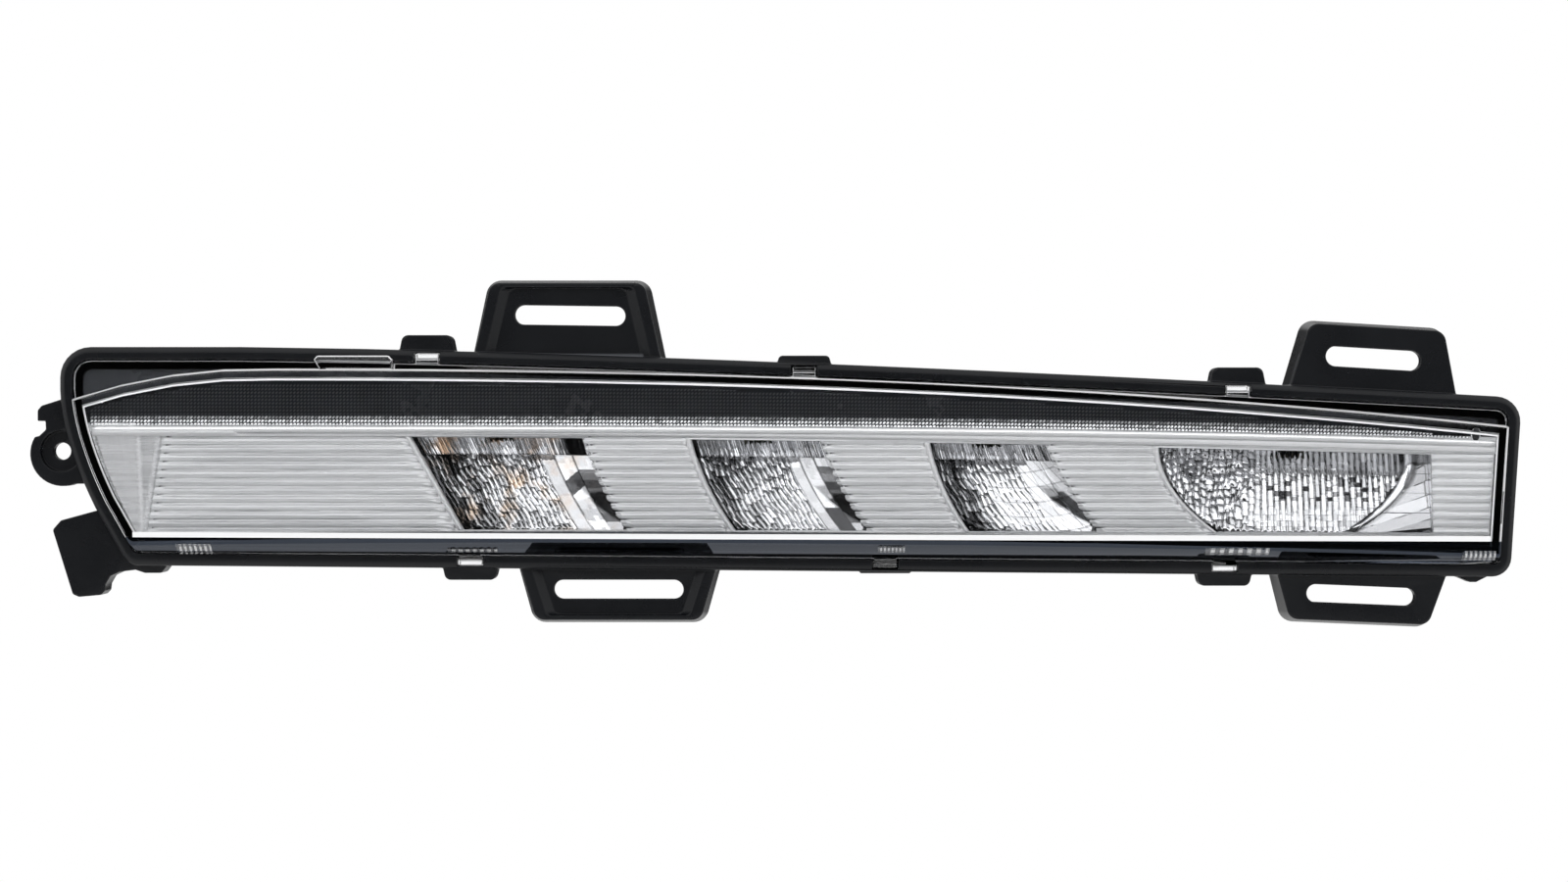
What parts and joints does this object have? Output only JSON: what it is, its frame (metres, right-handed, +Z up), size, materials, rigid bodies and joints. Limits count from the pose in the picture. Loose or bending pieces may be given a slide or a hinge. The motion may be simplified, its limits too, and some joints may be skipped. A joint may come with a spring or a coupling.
{
  "type": "daytime running light",
  "caption": "Long front daytime running light: black housing with slotted tabs, clear lens, ribbed satin bezel and bright pockets lit from a board above them.",
  "frame": {"origin": "middle of the screw eye at the lower left, on the seat of its screw head", "axes": "+X along the lamp, to the right in the picture; -Y out of the lens; +Z up"},
  "size_m": [0.3791, 0.063, 0.0888],
  "materials": {
    "housing_black": "fine moulded texture, rounded edges",
    "lens_clear": "polished clear moulding",
    "sealing_bead": "soft bead",
    "bezel_satin": "satin metallised, ribbed",
    "trim_charcoal": "charcoal with a fine grid of raised dots",
    "reflector_bright": "bright metallised, fluted",
    "board_green": "solder mask",
    "led_body": "pale emitter",
    "heat_sink_metal": "extruded, brushed",
    "gasket_rubber": "flat gasket",
    "coil_brown": "wound coil",
    "parts_black": "capacitors and chip",
    "jumper_white": "flat lead",
    "socket_black": "connector moulding",
    "pin_brass": "plated pins",
    "seal_orange": "silicone seal",
    "cap_rubber": "moulded cap",
    "screw_steel": "zinc plated"
  },
  "bodies": {
    "root": {"housing": "housing_black", "lens": "lens_clear", "lens_seal": "sealing_bead", "bezel": "bezel_satin", "upper_trim": "trim_charcoal", "reflector_1": "reflector_bright", "reflector_2": "reflector_bright", "reflector_3": "reflector_bright", "reflector_4": "reflector_bright", "light_board": "board_green", "led_1": "led_body", "led_2": "led_body", "led_3": "led_body", "led_4": "led_body", "heat_sink": "heat_sink_metal", "heat_sink_gasket": "gasket_rubber", "driver_board": "board_green", "driver_coil": "coil_brown", "driver_parts": "parts_black", "driver_jumper": "jumper_white", "connector_jumper": "jumper_white", "connector_socket": "socket_black", "connector_pins": "pin_brass", "connector_seal": "seal_orange", "breather_cap": "cap_rubber", "bezel_screws": "screw_steel", "reflector_screws": "screw_steel", "board_screws": "screw_steel", "driver_screws": "screw_steel", "heat_sink_screws": "screw_steel"}
  },
  "joints": []
}
